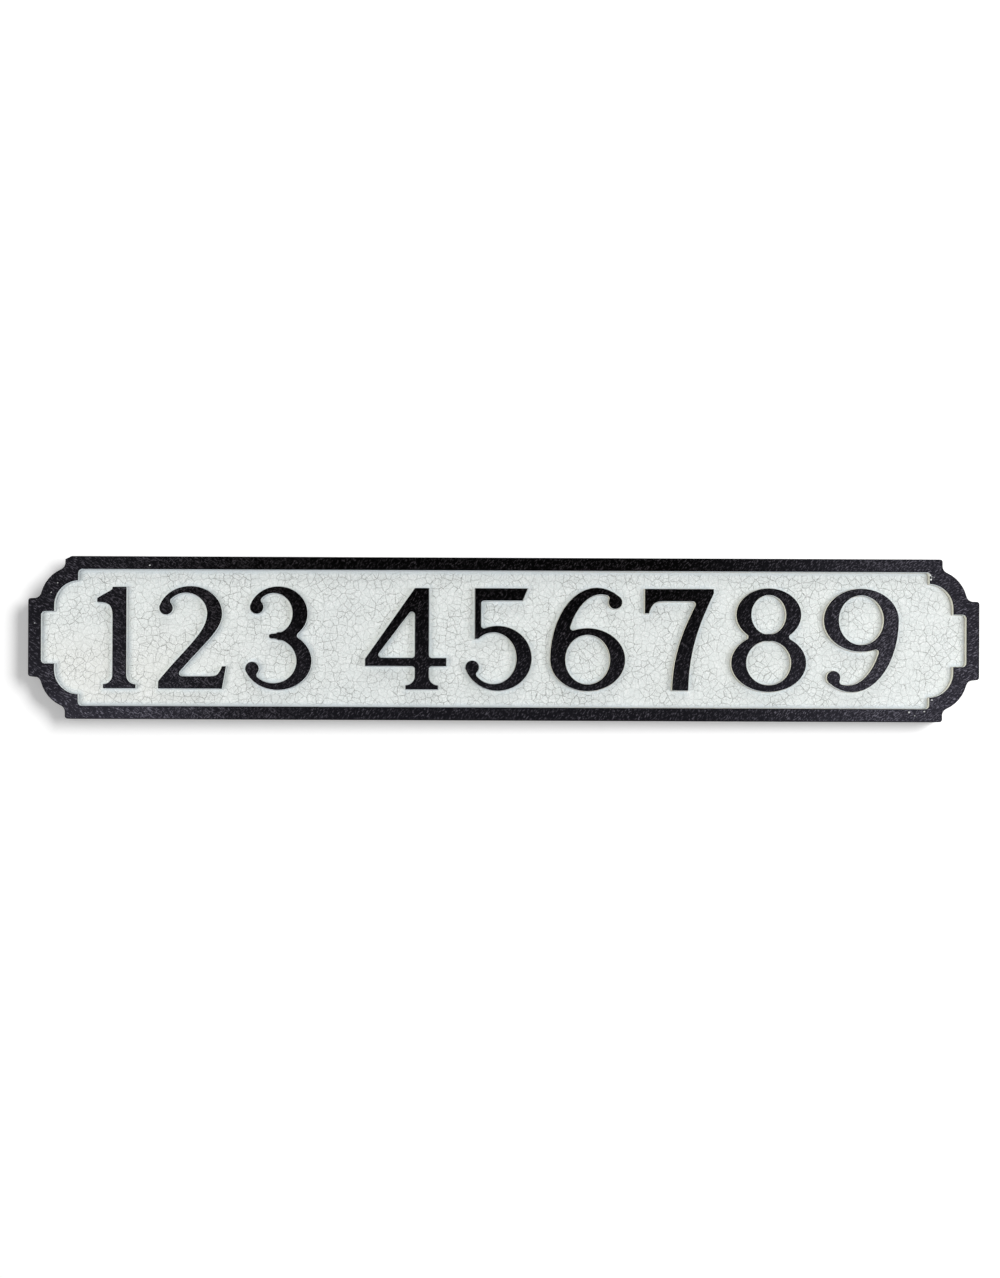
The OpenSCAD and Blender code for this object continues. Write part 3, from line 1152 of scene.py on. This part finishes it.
    def add_floor_points(self, shell: Shell, foot: Rim) -> np.ndarray:
        """Adds the floor's own points, marked with how far they lie from a wall.

        Args:
            shell: what they go into.
            foot: the rims round the floor.

        Returns:
            The points' numbers.
        """
        placed = np.concatenate(shell.points)[:, [0, 2]]
        places, shore = self.floor_points(placed[foot[0]], placed[foot[1]])
        depth = np.full(len(places), self.floor)
        marks = np.column_stack([np.zeros((len(places), 2)), shore / MM])
        return shell.add_points(np.column_stack([places[:, 0], depth, places[:, 1]]), marks)

    def build(self, node: bpy.types.Object) -> bpy.types.Object:
        """Builds the dressed board round the frame's contours.

        Args:
            node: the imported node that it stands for.

        Returns:
            The board, with its finishes.
        """
        points, triangles = self.frame_mesh(node)
        shell = Shell()
        panel_top, panel_foot, side_front, side_back = self.add_edges(shell, points, triangles)
        slot_rim = self.add_slots(shell, points, triangles)
        floor_points = self.add_floor_points(shell, panel_foot)
        none = np.empty(0, np.int64)
        shell.add_flat([panel_top, side_front], none, Paint.BLACK, True)
        shell.add_flat([panel_foot], floor_points, Paint.WHITE, True)
        shell.add_flat([side_back, slot_rim], none, Paint.RAW, False)

        mesh = shell.mesh("painted_board")
        board = bpy.data.objects.new("painted_board", mesh)
        bpy.context.scene.collection.objects.link(board)
        for finish in (self.black, self.white, self.raw):
            mesh.materials.append(finish.material())
        weighted = board.modifiers.new("flat_faces_stay_flat", "WEIGHTED_NORMAL")
        weighted.keep_sharp = True
        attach(board, "root")
        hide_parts("sign_board")
        log.info("painted_board: %d faces, %d open edges", len(mesh.polygons), open_edges(mesh))
        return board


def open_edges(mesh: bpy.types.Mesh) -> int:
    """Counts the edges of a mesh that don't lie between exactly two faces.

    Args:
        mesh: any mesh.

    Returns:
        How many there are.
    """
    edges = np.empty(len(mesh.loops), np.int32)
    mesh.loops.foreach_get("edge_index", edges)
    return int((np.bincount(edges, minlength=len(mesh.edges)) != 2).sum())


@dataclass
class Wall:
    """The plain white wall behind the board. It takes the board's shadow, shows white to the
    camera, and isn't seen from behind.

    Attributes:
        half_w, half_h: half its width and height.
        gap: how far it lies behind the board's back.
        albedo: how much light it gives back.
        lift: how much is added for the camera, so that the lit wall is white.
    """

    half_w: float = 0.7
    half_h: float = 0.62
    gap: float = 0.5 * MM
    albedo: float = 0.8
    lift: float = 0.3

    def material(self) -> bpy.types.Material:
        """Builds the wall's matt white, with its lift for the camera and its clear back.

        Returns:
            The material.
        """
        material, tree, _ = start_material("white_wall")
        path = add_node(tree, "ShaderNodeLightPath").outputs
        seen = sum_of(tree, "MAXIMUM", path["Is Camera Ray"], path["Is Glossy Ray"])
        lift = sum_of(tree, "MULTIPLY", seen, self.lift)
        paper = add_node(tree, "ShaderNodeBsdfDiffuse", {"Color": (self.albedo,) * 3 + (1.0,)})
        glow = add_node(tree, "ShaderNodeEmission", {"Color": PURE_WHITE, "Strength": lift})
        both = add_node(tree, "ShaderNodeAddShader", {0: paper.outputs[0], 1: glow.outputs[0]})
        behind = add_node(tree, "ShaderNodeNewGeometry").outputs["Backfacing"]
        clear = add_node(tree, "ShaderNodeBsdfTransparent")
        sides = {0: behind, 1: both.outputs[0], 2: clear.outputs[0]}
        surface = add_node(tree, "ShaderNodeMixShader", sides)
        add_node(tree, "ShaderNodeOutputMaterial", {"Surface": surface.outputs[0]})
        return material

    def build(self) -> bpy.types.Object:
        """Builds the wall as one face that looks to the front.

        Returns:
            The wall, which is stage.
        """
        x, z = self.half_w, self.half_h
        corners = [(-x, self.gap, -z), (x, self.gap, -z), (x, self.gap, z), (-x, self.gap, z)]
        mesh = bpy.data.meshes.new("wall")
        mesh.from_pydata(corners, [], [(0, 1, 2, 3)])
        mesh.materials.append(self.material())
        wall = bpy.data.objects.new("wall", mesh)
        bpy.context.scene.collection.objects.link(wall)
        wall.visible_shadow = False
        wall.visible_diffuse = False
        log.info("wall: stage")
        return wall


@dataclass
class Lamp:
    """A soft oval lamp.

    Attributes:
        name: what it does.
        place: where it hangs.
        size: its width and height.
        power: its power in watts.
        aim: the point that it faces.
    """

    name: str
    place: tuple[float, float, float]
    size: tuple[float, float]
    power: float
    aim: tuple[float, float, float] = (0.0, 0.0, 0.0)

    def build(self, only: bpy.types.Object | None = None) -> bpy.types.Object:
        """Hangs the lamp and turns it to its aim.

        Args:
            only: the one object that it lights, or none if it lights everything.

        Returns:
            The lamp.
        """
        light = bpy.data.lights.new(self.name, "AREA")
        light.shape = "ELLIPSE"
        light.size, light.size_y = self.size
        light.energy = self.power
        lamp = bpy.data.objects.new(self.name, light)
        lamp.location = self.place
        sight = Vector(self.aim) - Vector(self.place)
        lamp.rotation_euler = sight.to_track_quat("-Z", "Y").to_euler()
        bpy.context.scene.collection.objects.link(lamp)
        if only is not None:
            lit = bpy.data.collections.new(f"{self.name}_lights")
            lit.objects.link(only)
            lamp.light_linking.receiver_collection = lit
        return lamp


@dataclass
class Studio:
    """Plain soft light. Two lamps light the board evenly from either side of the camera, and one
    each stands above and behind it. A wide lamp of its own lights the wall from the upper right,
    as on the photograph, where the wall's shadow is far stronger than those inside the panel.

    Attributes:
        sky: how strongly the world lights the board.
        on_board: the lamps that light the board.
        on_wall: the lamp that throws the board's shadow on the wall.
    """

    sky: float = 0.28
    on_board: tuple[Lamp, ...] = (
        Lamp("right", (0.75, -0.8, -0.1), (0.7, 0.7), 6.0),
        Lamp("left", (-0.75, -0.8, -0.15), (0.7, 0.7), 5.0),
        Lamp("above", (0.2, -0.6, 1.4), (1.8, 0.4), 8.0),
        Lamp("behind", (0.4, 2.2, 0.9), (1.5, 1.5), 30.0),
    )
    on_wall: Lamp = field(default_factory=lambda: Lamp(
        "shadow", (4.8, -4.0, 2.0), (4.5, 5.1), 860.0, (4.8, 0.0, 2.0)))

    def build(self, board: bpy.types.Object, wall: bpy.types.Object) -> None:
        """Hangs the lamps, and gives the world its light and its white for the camera.

        Args:
            board, wall: the objects that are lit apart from each other.
        """
        for lamp in self.on_board:
            lamp.build(only=board)
        self.on_wall.build(only=wall)
        world = bpy.data.worlds.new("pale_sky")
        world.use_nodes = True
        tree = world.node_tree
        tree.nodes.clear()
        path = add_node(tree, "ShaderNodeLightPath").outputs
        seen = sum_of(tree, "MAXIMUM", path["Is Camera Ray"], path["Is Transmission Ray"])
        levels = {"Value": seen, "To Min": self.sky, "To Max": 1.0}
        strength = add_node(tree, "ShaderNodeMapRange", levels).outputs[0]
        sky = add_node(tree, "ShaderNodeBackground", {"Color": PURE_WHITE, "Strength": strength})
        add_node(tree, "ShaderNodeOutputWorld", {"Surface": sky.outputs[0]})
        bpy.context.scene.world = world
        log.info("studio: %d lamps", len(self.on_board) + 1)


@dataclass
class PhotoCamera:
    """The camera of the photograph: near, straight on, and rolled by a quarter of a degree.

    Attributes:
        away: distance from the board's front.
        across: how far it stands to the right of the board's middle.
        high: how far it stands above the board's middle.
        front: depth of the board's front.
        picture_px: width and height of the picture.
        px: size of a pixel at the board's front.
        centre_px: where the board's middle is in the picture.
        roll_deg: how far the picture is turned clockwise.
        sensor_mm: size of the sensor along the picture's longer side.
    """

    away: float = 1.25
    across: float = -0.03
    high: float = -0.08
    front: float = -15 * MM
    picture_px: tuple[int, int] = (1000, 1278)
    px: float = 0.7988 * MM
    centre_px: tuple[float, float] = (503.3, 638.9)
    roll_deg: float = 0.235
    sensor_mm: float = 36.0

    def build(self) -> bpy.types.Object:
        """Places the camera, and shifts its picture to put the board's middle in place. A shift is
        a share of the picture's longer side.

        Returns:
            The camera.
        """
        data = bpy.data.cameras.new("camera")
        wide, tall = self.picture_px
        data.sensor_width = self.sensor_mm
        data.lens = self.sensor_mm * self.away / (tall * self.px)
        data.shift_x = (-self.across / self.px - (self.centre_px[0] - wide / 2)) / tall
        data.shift_y = (-self.high / self.px + (self.centre_px[1] - tall / 2)) / tall
        camera = bpy.data.objects.new("camera", data)
        camera.location = (self.across, self.front - self.away, self.high)
        camera.rotation_euler = (math.pi / 2, math.radians(-self.roll_deg), 0)
        bpy.context.scene.collection.objects.link(camera)
        bpy.context.scene.camera = camera
        log.info("camera: lens %.2f mm", data.lens)
        return camera


def main() -> None:
    """Builds the board, the wall, the camera and the lamps."""
    logging.basicConfig(level=logging.INFO, format="%(name)s %(message)s")
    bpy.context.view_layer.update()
    bpy.context.scene.view_settings.view_transform = "Standard"
    board = NameBoard().build(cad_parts["sign_board"])
    wall = Wall().build()
    PhotoCamera().build()
    Studio().build(board, wall)


if __name__ == "__main__":
    main()
